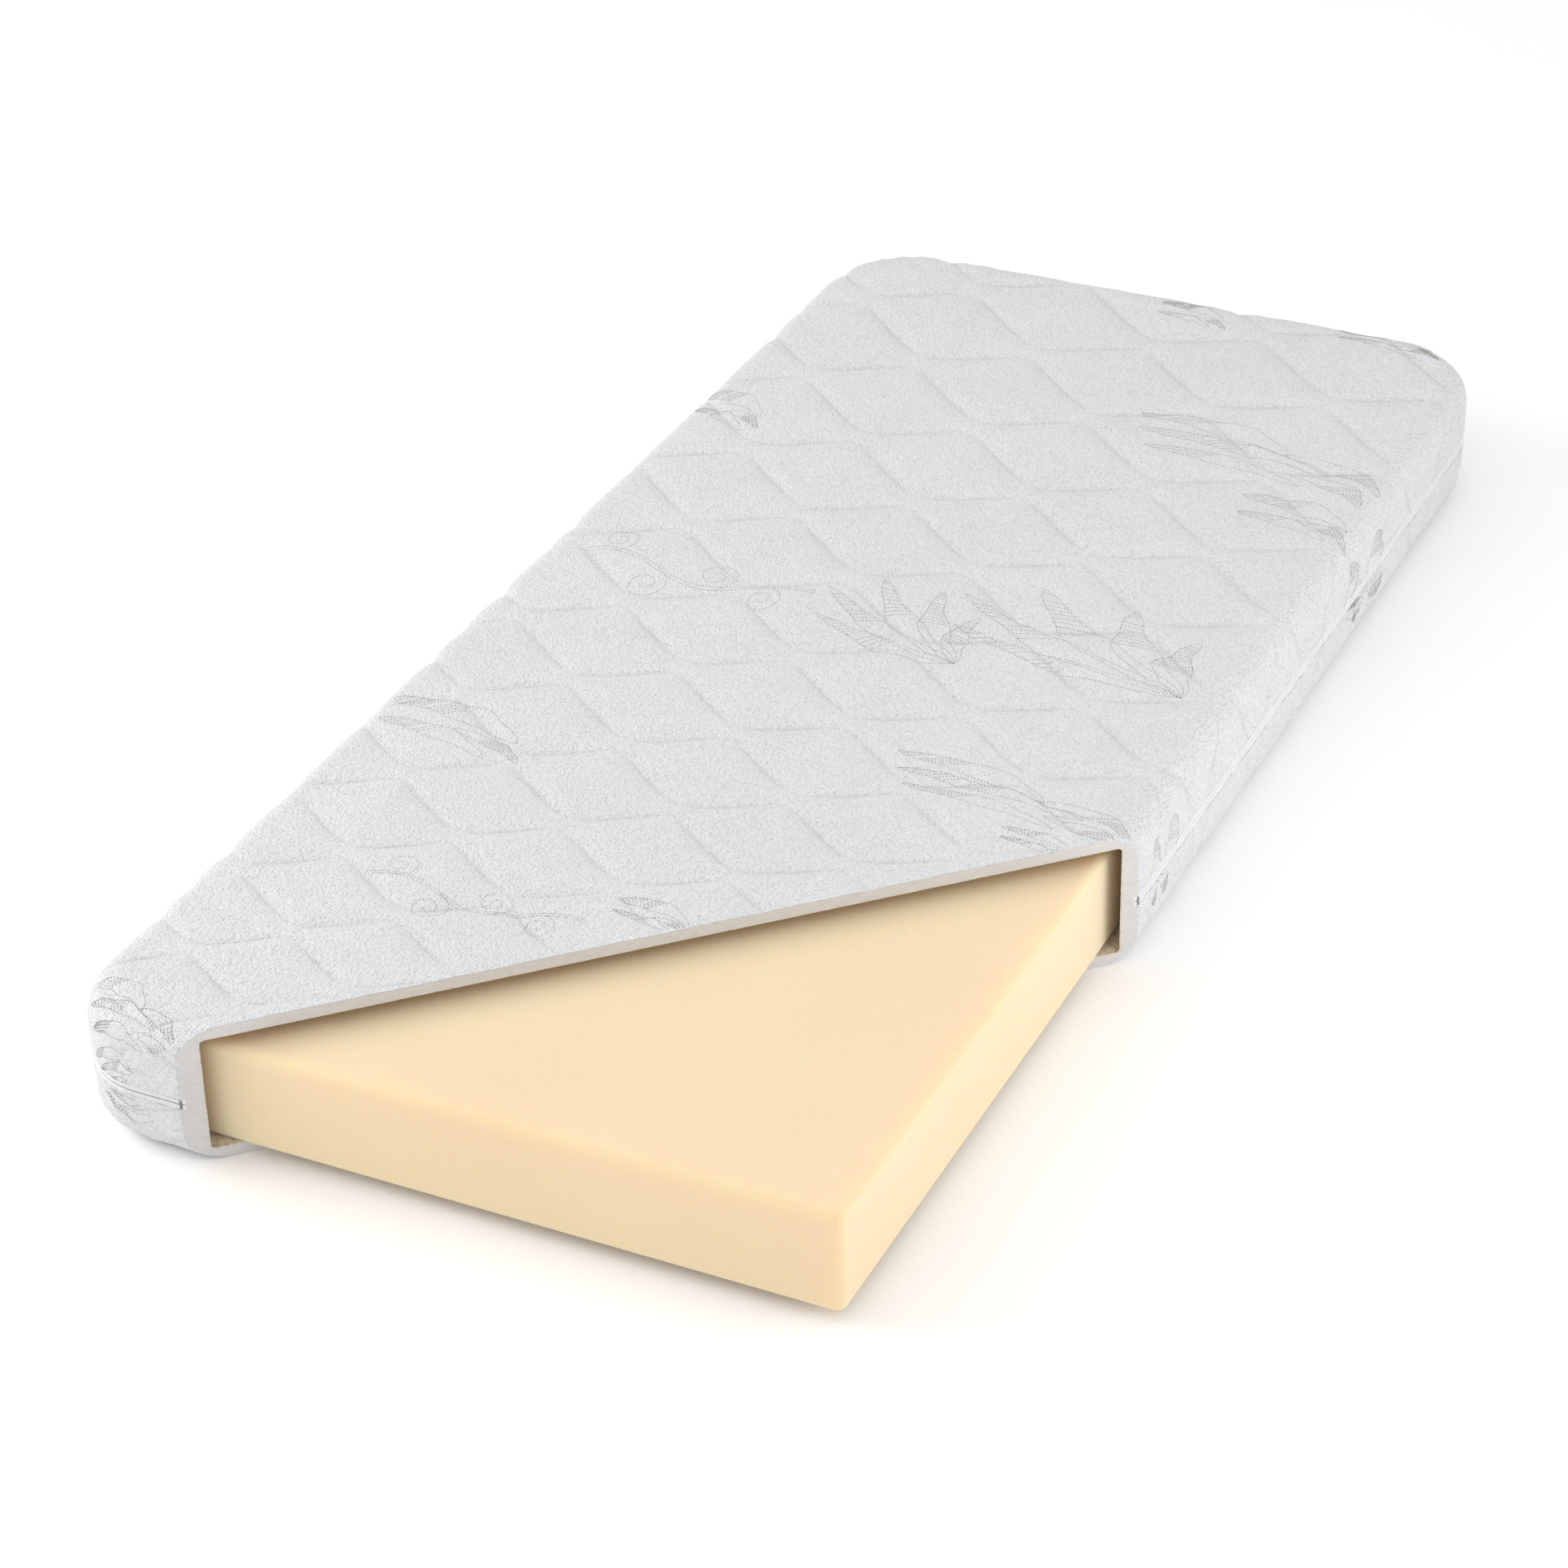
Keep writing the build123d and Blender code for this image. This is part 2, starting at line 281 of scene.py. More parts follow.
class Nodes:
    """A material's node tree, with short calls for the nodes used here."""

    def __init__(self, name):
        self.material = bpy.data.materials.new(name)
        self.material.use_nodes = True
        self.tree = self.material.node_tree
        self.shader = self.tree.nodes["Principled BSDF"]

    def add(self, kind):
        return self.tree.nodes.new(kind)

    def link(self, source, target):
        self.tree.links.new(source, target)

    def coordinates(self, stretch=(1, 1, 1)):
        place = self.add("ShaderNodeTexCoord")
        mapping = self.add("ShaderNodeMapping")
        mapping.inputs["Scale"].default_value = stretch
        self.link(place.outputs["Object"], mapping.inputs["Vector"])
        return mapping.outputs["Vector"]

    def noise(self, vector, scale, detail=3.0, roughness=0.55, distortion=0.0):
        node = self.add("ShaderNodeTexNoise")
        for key, value in (
            ("Scale", scale),
            ("Detail", detail),
            ("Roughness", roughness),
            ("Distortion", distortion),
        ):
            node.inputs[key].default_value = value
        self.link(vector, node.inputs["Vector"])
        return node.outputs["Fac"]

    def voronoi(self, vector, scale):
        node = self.add("ShaderNodeTexVoronoi")
        node.inputs["Scale"].default_value = scale
        self.link(vector, node.inputs["Vector"])
        return node.outputs["Distance"]

    def math(self, operation, first, second):
        node = self.add("ShaderNodeMath")
        node.operation = operation
        for socket, value in zip(node.inputs, (first, second)):
            if isinstance(value, (int, float)):
                socket.default_value = value
            else:
                self.link(value, socket)
        return node.outputs[0]

    def total(self, first, share, second, other_share):
        """Two values added, each times its share."""
        first = self.math("MULTIPLY", first, share)
        return self.math("ADD", first, self.math("MULTIPLY", second, other_share))

    def shaded(self, colour, attribute, strength, shade):
        """The colour, nearer to shade where the mesh's attribute is high."""
        mask = self.add("ShaderNodeAttribute")
        mask.attribute_name = attribute
        mix = self.add("ShaderNodeMix")
        mix.data_type = "RGBA"
        mix.inputs[MIX_TO].default_value = (*shade, 1)
        self.link(self.math("MULTIPLY", mask.outputs["Fac"], strength), mix.inputs[MIX_FACTOR])
        self.link(colour, mix.inputs[MIX_FROM])
        return mix.outputs[MIX_RESULT]

    def ramp(self, factor, *stops):
        node = self.add("ShaderNodeValToRGB")
        elements = node.color_ramp.elements
        while len(elements) < len(stops):
            elements.new(0.5)
        for element, (position, colour) in zip(elements, stops):
            element.position = position
            element.color = (*colour, 1)
        self.link(factor, node.inputs["Fac"])
        return node.outputs["Color"]

    def bump(self, height, distance, strength=1.0, normal=None):
        node = self.add("ShaderNodeBump")
        node.inputs["Strength"].default_value = strength
        node.inputs["Distance"].default_value = distance
        self.link(height, node.inputs["Height"])
        if normal is not None:
            self.link(normal, node.inputs["Normal"])
        return node.outputs["Normal"]

    def finish(self, colour, normal=None, roughness=None, **uniform):
        self.link(colour, self.shader.inputs["Base Color"])
        if normal is not None:
            self.link(normal, self.shader.inputs["Normal"])
        if roughness is not None:
            self.link(roughness, self.shader.inputs["Roughness"])
        for key, value in uniform.items():
            self.shader.inputs[key.replace("_", " ")].default_value = value
        return self.material


def ticking_material():
    """White crimped knit with fine loops, and painted shade that greys it along the stitch lines.
    """
    n = Nodes("ticking")
    plain = n.coordinates()
    crimp = n.noise(n.coordinates((1.15, 0.85, 1.15)), 310, 2.0, 0.45, 0.15)
    fold = n.noise(plain, 60, 2.0, 0.5)
    knit = n.voronoi(n.coordinates((1.0, 1.6, 1.3)), 620)
    tone = n.noise(plain, 9, 3.0)
    colour = n.ramp(
        n.total(crimp, 0.6, tone, 0.4),
        (0.3, (0.70, 0.71, 0.725)),
        (0.7, (0.77, 0.778, 0.79)),
    )
    # painted shade: the colour is pulled towards grey along the stitch lines, where the quilting's
    # grooves lie in shade
    colour = n.shaded(colour, "crease", 0.5, (0.5, 0.51, 0.52))
    normal = n.bump(n.total(crimp, 1.1, fold, 0.2), 0.0040)
    normal = n.bump(knit, 0.0006, 0.7, normal)
    roughness = n.ramp(crimp, (0.2, (0.46,) * 3), (0.8, (0.58,) * 3))
    return n.finish(
        colour, normal, roughness, Specular_IOR_Level=0.45, Sheen_Weight=0.12, Sheen_Roughness=0.4
    )


def foam_material():
    """Cream open-cell foam, matt, with very fine cells."""
    n = Nodes("foam")
    plain = n.coordinates()
    cells = n.voronoi(plain, 750)
    fine = n.noise(plain, 900, 2.0)
    cloud = n.noise(plain, 5, 4.0)
    colour = n.ramp(
        n.total(cloud, 0.7, fine, 0.3),
        (0.25, (0.785, 0.62, 0.40)),
        (0.75, (0.82, 0.66, 0.44)),
    )
    normal = n.bump(n.math("ADD", cells, fine), 0.0003, 0.35)
    return n.finish(
        colour,
        normal,
        Roughness=0.85,
        Specular_IOR_Level=0.2,
        Subsurface_Weight=0.6,
        Subsurface_Radius=(0.03, 0.013, 0.004),
        Subsurface_Scale=1.8,
        Sheen_Weight=0.15,
    )


def wadding_material():
    """Needled fibre wadding, seen at the cut."""
    n = Nodes("wadding")
    fibres = n.noise(n.coordinates((1.0, 1.0, 3.0)), 420, 4.0, 0.65, 1.2)
    tufts = n.noise(n.coordinates((1.0, 1.0, 2.2)), 90, 3.0)
    mixed = n.total(fibres, 0.5, tufts, 0.5)
    colour = n.ramp(mixed, (0.3, (0.575, 0.56, 0.55)), (0.7, (0.685, 0.67, 0.655)))
    normal = n.bump(mixed, 0.0012, 0.6)
    return n.finish(colour, normal, Roughness=0.95, Specular_IOR_Level=0.15, Sheen_Weight=0.2)


def lining_material():
    """Thin non-woven backing with a mottled web of fibres."""
    n = Nodes("lining")
    plain = n.coordinates()
    web = n.noise(plain, 320, 5.0, 0.75, 3.0)
    mottle = n.noise(plain, 95, 4.0, 0.6, 1.2)
    mixed = n.total(web, 0.55, mottle, 0.45)
    colour = n.ramp(mixed, (0.4, (0.46, 0.36, 0.23)), (0.58, (0.86, 0.79, 0.66)))
    return n.finish(colour, n.bump(mixed, 0.001, 0.7), Roughness=0.9, Specular_IOR_Level=0.15)


def tape_material():
    """White woven tape with a herringbone rib."""
    n = Nodes("tape")
    plain = n.coordinates()
    weave = n.voronoi(n.coordinates((1, 1, 0.6)), 1300)
    tone = n.noise(plain, 300, 2.0)
    colour = n.ramp(tone, (0.3, (0.72, 0.73, 0.74)), (0.7, (0.80, 0.81, 0.815)))
    return n.finish(colour, n.bump(weave, 0.0003, 0.6), Roughness=0.6, Sheen_Weight=0.1)


def coil_material():
    """Moulded polyester coil, translucent grey."""
    n = Nodes("coil")
    tone = n.noise(n.coordinates(), 500, 2.0)
    colour = n.ramp(tone, (0.3, (0.60, 0.61, 0.62)), (0.7, (0.72, 0.73, 0.74)))
    return n.finish(colour, n.bump(tone, 0.0001, 0.3), Roughness=0.35)


def thread_material(name, dark, light):
    """Twisted sewing thread."""
    n = Nodes(name)
    twist = n.noise(n.coordinates(), 1500, 2.0)
    colour = n.ramp(twist, (0.35, dark), (0.65, light))
    return n.finish(colour, n.bump(twist, 0.0002, 0.5), Roughness=0.6, Sheen_Weight=0.2)


def metal_material():
    """Plated zinc, softly worn."""
    n = Nodes("slider_metal")
    tone = n.noise(n.coordinates(), 400, 4.0)
    colour = n.ramp(tone, (0.3, (0.50, 0.51, 0.52)), (0.7, (0.62, 0.63, 0.64)))
    roughness = n.ramp(tone, (0.3, (0.24,) * 3), (0.7, (0.40,) * 3))
    normal = n.bump(tone, 0.00008, 0.4)
    return n.finish(colour, normal, roughness, Metallic=1.0)


TICKING = ticking_material()
FOAM = foam_material()
WADDING = wadding_material()
LINING = lining_material()
TAPE = tape_material()
COIL = coil_material()
METAL = metal_material()
# painted shade: dark grey pieces at the zip's cut ends stand for the shade inside the cut zip
ZIP_END_SHADE = thread_material("painted_zip_end_shade", (0.16, 0.155, 0.15), (0.24, 0.235, 0.23))
MOTIF_THREAD = thread_material("motif_thread", (0.21, 0.185, 0.15), (0.36, 0.325, 0.27))
SEAM_THREAD = thread_material("seam_thread", (0.60, 0.61, 0.62), (0.72, 0.73, 0.74))


# ---------------------------------------------------------------- quilted ticking
GRID_STEP = 0.0056
GRID_CELLS = 12  # across each column of the lattice, closer together near its stitch lines
GRID_MARGIN = 0.02
CUT_MARGIN = 0.12  # fabric kept past the cut until the plane cuts it
# width over which the painted shade fades off a stitch line
STITCH_SHADE_W = 0.0014
SHARP_EDGE = 55


def quilt_grid(half):
    """Spread-out fabric as a grid whose columns follow the stitch lines."""
    reach_x = FLAT_X + half.end + GRID_MARGIN
    reach_y = FLAT_Y + half.end + GRID_MARGIN
    corners = [(sx * reach_x, sy * reach_y) for sx in (-1, 1) for sy in (-1, 1)]
    places = [quilt_place(*map(np.array, half.fabric(*corner))) for corner in corners]
    alphas = [float(place[0]) for place in places]
    betas = [float(place[1]) for place in places]
    rows = int((max(alphas) - min(alphas)) * -ROW_PITCH / GRID_STEP)
    alpha = np.linspace(min(alphas), max(alphas), rows)
    columns = []
    ease = (1 - np.cos(np.linspace(0, math.pi, GRID_CELLS + 1)[:-1])) / 2
    for k in range(math.floor(min(betas)) - 1, math.ceil(max(betas)) + 1):
        left = stitch_line(k, alpha)[0]
        right = stitch_line(k + 1, alpha)[0]
        columns += [left + (right - left) * share for share in ease]
    beta = np.stack(columns, 1)
    x, y = quilt_point(alpha[:, None] + 0 * beta, beta)
    return half.fabric(x, y)


def ticking_layer(half):
    """Vertices and faces of the fabric as a closed layer, and how much painted shade each gets
    near a stitch line.
    """
    x, y = quilt_grid(half)
    rows, columns = x.shape
    index = np.arange(rows * columns).reshape(rows, columns)
    quads = np.stack([index[:-1, :-1], index[:-1, 1:], index[1:, 1:], index[1:, :-1]], -1)
    quads = quads.reshape(-1, 4)
    x, y = x.ravel(), y.ravel()
    s, dir_x, dir_y = half.spread(x, y)
    quads = quads[(s < half.end)[quads].any(1)]
    back = np.maximum(s - half.end, 0)
    x, y = x - dir_x * back, y - dir_y * back
    quads = quads[(past_cut(x, y) > -CUT_MARGIN)[quads].any(1)]
    used, quads = np.unique(quads, return_inverse=True)
    quads = quads.reshape(-1, 4)
    outer, normal = half.place(x[used], y[used])
    count = len(used)
    distance, strength = nearest_stitch(*half.fabric(x[used], y[used]))
    # painted shade, strongest on a stitch line and fading within a millimetre or two of it
    crease = strength * np.exp(-distance / STITCH_SHADE_W)
    edges = np.concatenate([quads[:, [i, (i + 1) % 4]] for i in range(4)])
    _, first, times = np.unique(np.sort(edges, 1), axis=0, return_index=True, return_counts=True)
    rim = edges[first[times == 1]]
    walls = np.stack([rim[:, 1], rim[:, 0], rim[:, 0] + count, rim[:, 1] + count], 1)
    verts = np.concatenate([outer, outer - normal * TICKING_T])
    return verts, np.concatenate([quads, quads[:, ::-1] + count, walls]), np.tile(crease, 2)


def cut_by_plane(bm):
    """Takes the cutaway's corner off a closed mesh, and closes the cut."""
    cut = bmesh.ops.bisect_plane(
        bm,
        geom=bm.verts[:] + bm.edges[:] + bm.faces[:],
        dist=1e-7,
        plane_co=(*CUT_ON_END, 0),
        plane_no=(*CUT_NORMAL, 0),
        clear_inner=True,
    )
    edges = [item for item in cut["geom_cut"] if isinstance(item, bmesh.types.BMEdge)]
    bmesh.ops.holes_fill(bm, edges=edges, sides=0)


def quilted_ticking(half):
    """The outer fabric of one half: puffed cells between stitch lines, cut by the plane."""
    verts, faces, crease = ticking_layer(half)
    draft = bpy.data.meshes.new("draft")
    draft.from_pydata(verts.tolist(), [], faces.tolist())
    # the painted shade, kept on the mesh for the ticking material
    draft.attributes.new("crease", "FLOAT", "POINT").data.foreach_set("value", crease)
    bm = bmesh.new()
    bm.from_mesh(draft)
    bpy.data.meshes.remove(draft)
    bmesh.ops.remove_doubles(bm, verts=bm.verts, dist=1e-6)
    cut_by_plane(bm)
    bmesh.ops.recalc_face_normals(bm, faces=bm.faces)
    name = half.name + "_quilted_ticking"
    mesh = bpy.data.meshes.new(name)
    bm.to_mesh(mesh)
    bm.free()
    obj = dressed(name, mesh, half.body, TICKING, True, SHARP_EDGE)
    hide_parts(half.name + "_ticking")
    return obj


# ---------------------------------------------------------------- wadding at the cut
WADDING_OVERLAP = 0.0001  # how far it goes into the ticking
PARTING_CLEARANCE = 0.00003  # from its edge to the middle of the zip
WALL_STEPS = 46
FACE_STEPS = 260
STRIP_FRONT = -0.0002  # in front of the cut, so that it hides the layers' fold lines
STRIP_BACK = 0.03


def plane_partner(known, value, depth):
    """The other plan coordinate of a point on the plane that lies depth behind the cut."""
    level = CUT_NORMAL @ CUT_ON_END + depth
    if known == "x":
        return (level - CUT_NORMAL[0] * value) / CUT_NORMAL[1]
    return (level - CUT_NORMAL[1] * value) / CUT_NORMAL[0]


def wall_section(half, s, across, depth, skin):
    """Where a plane behind the cut meets one wall, at length s along the wall's section.

    across is "x" for the end wall and "y" for the long wall.
    """
    out, down, lean = (float(v) for v in half.profile(np.array(s), skin))
    flat, other = (FLAT_X, "y") if across == "x" else (FLAT_Y, "x")
    partner = plane_partner(across, -flat - out, depth)
    spread = (-flat - s, partner) if across == "x" else (partner, -flat - s)
    groove = float(half.groove(*map(np.array, spread), np.array(s)))
    value = -flat - out + groove * math.sin(lean)
    partner = plane_partner(across, value, depth)
    down = down + groove * math.cos(lean)
    return (value, partner, down) if other == "y" else (partner, value, down)


def cut_outline(half, depth):
    """Closed outline of the wadding on a plane that lies depth behind the cut."""
    skin = TICKING_T - WADDING_OVERLAP
    down_wall = np.linspace(half.end, 0, WALL_STEPS)
    edge_down = half.height + abs(ZIP_Z - half.lip_z) - PARTING_CLEARANCE
    points = []
    for inset, down in ((TAPE_BACK, edge_down), (TAPE_BACK, half.height - skin)):
        points.append((-HALF_L + inset, plane_partner("x", -HALF_L + inset, depth), down))
    points += [wall_section(half, s, "x", depth, skin) for s in down_wall]
    last_x = plane_partner("y", -FLAT_Y, depth)
    for x in np.linspace(-FLAT_X, last_x, FACE_STEPS)[1:-1]:
        y = plane_partner("x", x, depth)
        points.append((x, y, skin + float(half.groove(*map(np.array, (x, y, 0.0))))))
    points += [wall_section(half, s, "y", depth, skin) for s in down_wall[::-1]]
    for inset, down in ((TAPE_BACK, half.height - skin), (TAPE_BACK, edge_down)):
        points.append((plane_partner("y", -HALF_W + inset, depth), -HALF_W + inset, down))
    turns = [(math.cos(turn), math.sin(turn)) for turn in np.linspace(0, math.pi / 2, 5)]
    inner_y = -HALF_W + SIDE_LINING_INSET
    points.append((plane_partner("y", inner_y, depth), inner_y, edge_down))
    for cos, sin in turns:
        y = inner_y + LINING_R * (1 - cos)
        points.append((plane_partner("y", y, depth), y, LINING_INSET + LINING_R * (1 - sin)))
    inner_x = -HALF_L + END_LINING_INSET
    for cos, sin in turns[::-1]:
        x = inner_x + LINING_R * (1 - cos)
        points.append((x, plane_partner("x", x, depth), LINING_INSET + LINING_R * (1 - sin)))
    points.append((inner_x, plane_partner("x", inner_x, depth), edge_down))
    side = 1 if half.upper else -1
    return [(x, y, half.face_z - side * down) for x, y, down in points]


def wadding_strip(half):
    """The wadding where the cut shows it: a closed strip that follows the quilt."""
    front = cut_outline(half, STRIP_FRONT)
    back = cut_outline(half, STRIP_BACK)
    count = len(front)
    faces = [tuple(range(count)), tuple(range(2 * count - 1, count - 1, -1))]
    for i in range(count):
        j = (i + 1) % count
        faces.append((i, i + count, j + count, j))
    name = half.name + "_wadding_strip"
    obj = new_object(name, front + back, faces, half.body, WADDING, sharp=30)
    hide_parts(half.name + "_wadding")


# ---------------------------------------------------------------- thread
DASH_PITCH = 0.0040
DASH_LENGTH = 0.0023
DASH_SINK = 0.6  # share of its height that a stitch lies sunk in the fabric
DASH_TAPER = 0.12  # share of its length over which each end rises
CUT_CLEARANCE = 0.001  # stitches stop this far from the cut
PATH_STEP = 0.012  # in rows of the lattice
SEAM_OFF_LIP = 0.0035


def dash_mesh(starts, ends, normals, width, height):
    """One small closed ridge for each stitch, lying on the fabric."""
    along = ends - starts
    side = np.cross(normals, along)
    side *= (width / 2 / np.linalg.norm(side, axis=1))[:, None]
    sink = normals * height * DASH_SINK
    rise = normals * height
    tips = along * DASH_TAPER
    corners = [
        starts + side - sink,
        starts - side - sink,
        ends - side - sink,
        ends + side - sink,
        starts + tips + rise,
        ends - tips + rise,
    ]
    verts = np.stack(corners, 1).reshape(-1, 3)
    base = np.arange(len(starts))[:, None] * 6
    faces = []
    for shape in ((0, 1, 2, 3), (1, 0, 4), (3, 2, 5), (2, 1, 4, 5), (0, 3, 5, 4)):
        faces += (base + np.array(shape)).tolist()
    return verts, faces


def dashes_along(path):
    """Starts and ends of the stitches on a path in the plane."""
    path = np.asarray(path, float)
    lengths = np.concatenate([[0], np.cumsum(np.hypot(*np.diff(path, axis=0).T))])
    first = np.arange(0, lengths[-1] - DASH_LENGTH / 2, DASH_PITCH)
    last = np.minimum(first + DASH_LENGTH, lengths[-1])
    starts, ends = (
        np.stack([np.interp(at, lengths, path[:, i]) for i in (0, 1)], 1) for at in (first, last)
    )
    return starts, ends


def stitch_piece(half, name, paths, material, width, height):
    """Thread stitched along paths drawn on the spread-out fabric of one half."""
    pairs = [dashes_along(path) for path in paths]
    starts = np.concatenate([pair[0] for pair in pairs])
    ends = np.concatenate([pair[1] for pair in pairs])
    edge = half.end - LEDGE - LIP_R
    keep = half.spread(*starts.T)[0] < edge
    keep &= half.spread(*ends.T)[0] < edge
    keep &= (past_cut(*starts.T) > 2 * CUT_CLEARANCE) & (past_cut(*ends.T) > 2 * CUT_CLEARANCE)
    starts, ends = starts[keep], ends[keep]
    first, normal = half.place(*starts.T)
    last, _ = half.place(*ends.T)
    on_cover = past_cut(*first[:, :2].T) > CUT_CLEARANCE
    on_cover &= past_cut(*last[:, :2].T) > CUT_CLEARANCE
    near = np.linalg.norm(last - first, axis=1) > DASH_LENGTH / 8
    keep = on_cover & near
    verts, faces = dash_mesh(first[keep], last[keep], normal[keep], width, height)
    return new_object(name, verts, faces, half.body, material, smooth=False)


def quilting_thread(half):
    """The stitches that hold the quilt, one row along each stitch line."""
    reach = max(HALF_L, HALF_W) + half.end
    corners = [(sx * reach, sy * reach) for sx in (-1, 1) for sy in (-1, 1)]
    places = np.array([quilt_place(*map(np.array, half.fabric(*corner))) for corner in corners])
    low, high = places.min(0), places.max(0)
    alpha = np.arange(low[0], high[0], PATH_STEP)
    paths = []
    for k in range(math.floor(low[1]), math.ceil(high[1])):
        x, y = half.fabric(*quilt_point(alpha, stitch_line(k, alpha)[0]))
        paths.append(np.stack([x, y], 1))
    stitch_piece(half, half.name + "_quilting_thread", paths, SEAM_THREAD, 0.0009, 0.0003)


LEAF_POINTS = 26
HATCH_STEP = 0.045


def leaf(base, tip, belly, hatched):
    """Outline and hatching of a long leaf between two points of a unit square.

    belly is its width as a share of its length, and hatched the stretch that is hatched.
    """
    base, tip = np.array(base, float), np.array(tip, float)
    along = tip - base
    side = np.array([-along[1], along[0]]) * belly
    t = np.linspace(0, 1, LEAF_POINTS)[:, None]
    swell = np.sin(math.pi * t**0.8) + 0.12 * np.sin(5 * math.pi * t)
    bend = side * 0.5 * np.sin(math.pi * t)
    spine = base + along * t + bend
    upper, lower = spine + side * swell * 0.5, spine - side * swell * 0.5
    lines = [upper, lower]
    for share in np.arange(hatched[0], hatched[1], HATCH_STEP):
        i = int(share * (LEAF_POINTS - 1))
        lines.append(np.array([upper[i], lower[max(i - 1, 0)]]))
    return lines


def spray(shape):
    """A loose bunch of long leaves in the unit square."""
    bunches = {
        "long": (
            ((0.0, 0.92), (0.62, 0.60), 0.34, (0.02, 0.34)),
            ((0.04, 0.62), (0.80, 0.40), 0.22, (0.0, 0.5)),
            ((0.10, 0.34), (0.72, 0.12), 0.26, (0.04, 0.4)),
            ((0.60, 0.62), (1.0, 0.30), 0.30, (0.55, 0.95)),
            ((0.66, 0.34), (0.96, 0.0), 0.32, (0.5, 0.98)),
        ),
        "short": (
            ((0.0, 0.85), (0.9, 0.50), 0.34, (0.05, 0.5)),
            ((0.05, 0.40), (0.8, 0.1), 0.28, (0.0, 0.45)),
            ((0.50, 0.5), (1.0, 0.15), 0.26, (0.4, 0.95)),
        ),
        "fan": (
            ((0.98, 0.02), (0.05, 0.30), 0.16, (0.5, 0.98)),
            ((0.98, 0.02), (0.00, 0.72), 0.15, (0.62, 0.98)),
            ((0.98, 0.02), (0.25, 1.00), 0.15, (0.60, 0.98)),
            ((0.98, 0.02), (0.62, 0.98), 0.17, (0.56, 0.98)),
            ((0.98, 0.02), (0.92, 0.72), 0.20, (0.5, 0.98)),
        ),
    }
    return [line for leaf_shape in bunches[shape] for line in leaf(*leaf_shape)]


def flourish():
    """A plain scroll: a wave with curls that roll off it on both sides."""
    t = np.linspace(0, 1, 90)
    wave = np.stack([t, 0.5 + 0.16 * np.sin(2.5 * math.pi * t + 0.4)], 1)
    lines = [wave, wave + (0, 0.05)]
    for at, turn, size in ((0.12, 1, 0.15), (0.36, -1, 0.17), (0.6, 1, 0.17), (0.84, -1, 0.14)):
        start = wave[int(at * 89)]
        roll = np.linspace(0, 3.4 * math.pi, 60)
        radius = size * (1 - roll / roll[-1] * 0.85)
        centre = start + (0, turn * size)
        x = centre[0] + 0.55 * radius * np.sin(roll)
        y = centre[1] - turn * radius * np.cos(roll) * 1.5 + turn * size * 0.5
        lines.append(np.stack([x, y], 1))
    return lines


# Where each stitched motif lies on the spread-out fabric: low x, high x, low y, high y
MOTIFS = (
    ("long", -1.030, -0.935, 0.305, 0.430),
    ("long", -1.080, -1.020, 0.310, 0.440),
    ("scroll", -0.715, -0.625, 0.015, 0.275),
    ("short", -0.425, -0.320, 0.230, 0.430),
    ("short", -0.645, -0.590, -0.095, 0.005),
    ("short", -0.350, -0.310, -0.405, -0.310),
    ("long", -0.310, -0.210, -0.445, -0.145),
    ("scroll", -0.025, 0.110, 0.090, 0.395),
    ("fan", -0.025, 0.130, -0.130, 0.080),
    ("fan", 0.010, 0.180, -0.395, -0.075),
    ("short", 0.400, 0.500, 0.335, 0.440),
    ("long", 0.520, 0.665, -0.440, -0.095),
    ("short", 0.410, 0.505, -0.450, -0.290),
    ("short", 0.905, 0.970, -0.110, -0.005),
    ("short", 0.930, 0.990, -0.395, -0.245),
    ("short", -0.260, -0.150, -0.540, -0.470),
    ("short", 0.375, 0.560, -0.540, -0.470),
)
LOWER_MOTIFS = (
    ("short", -1.060, -1.020, 0.310, 0.420),
    ("short", -0.250, -0.180, -0.510, -0.475),
    ("short", 0.400, 0.560, -0.505, -0.470),
)


def motifs(half, places):
    """Stitched motifs. They read along the width, with their tops towards +X."""
    paths = []
    for shape, low_x, high_x, low_y, high_y in places:
        for line in flourish() if shape == "scroll" else spray(shape):
            x = low_x + (high_x - low_x) * line[:, 1]
            y = high_y - (high_y - low_y) * line[:, 0]
            paths.append(np.stack([x, y], 1))
    stitch_piece(half, half.name + "_motif_thread", paths, MOTIF_THREAD, 0.0010, 0.0004)


# ---------------------------------------------------------------- zip
ON_WALL = 1e-4
CORNER_STEPS = 48
TOOTH_FROM_STOP = 0.002
TOOTH_LEVELS = ((0.0021, 1.0), (0.0006, 1.0), (0.0003, 0.72))  # height off the zip's middle, scale
TOOTH_REACH = 0.00088  # half length of a tooth along the zip
TOOTH_OFF_TAPE = 0.0001
TOOTH_OUT = TAPE_INSET - COIL_INSET - 0.0002
CORD_OUT = 0.0004  # how far the cords stand out past the teeth
CORD_FROM, CORD_TO = 0.0010, 0.0034  # heights off the zip's middle
FACING_FROM = 0.0036
FACING_INSET = 0.0011
# sizes of the dark pieces of painted shade at the zip's cut ends
END_SHADE_INSET, END_SHADE_BACK = 0.0002, 0.0018
END_SHADE_REACH = (-0.0001, 0.0007)  # along the wall, out of the cut's face
END_SHADE_FROM = 0.0001
BAND_EASE = 0.00025


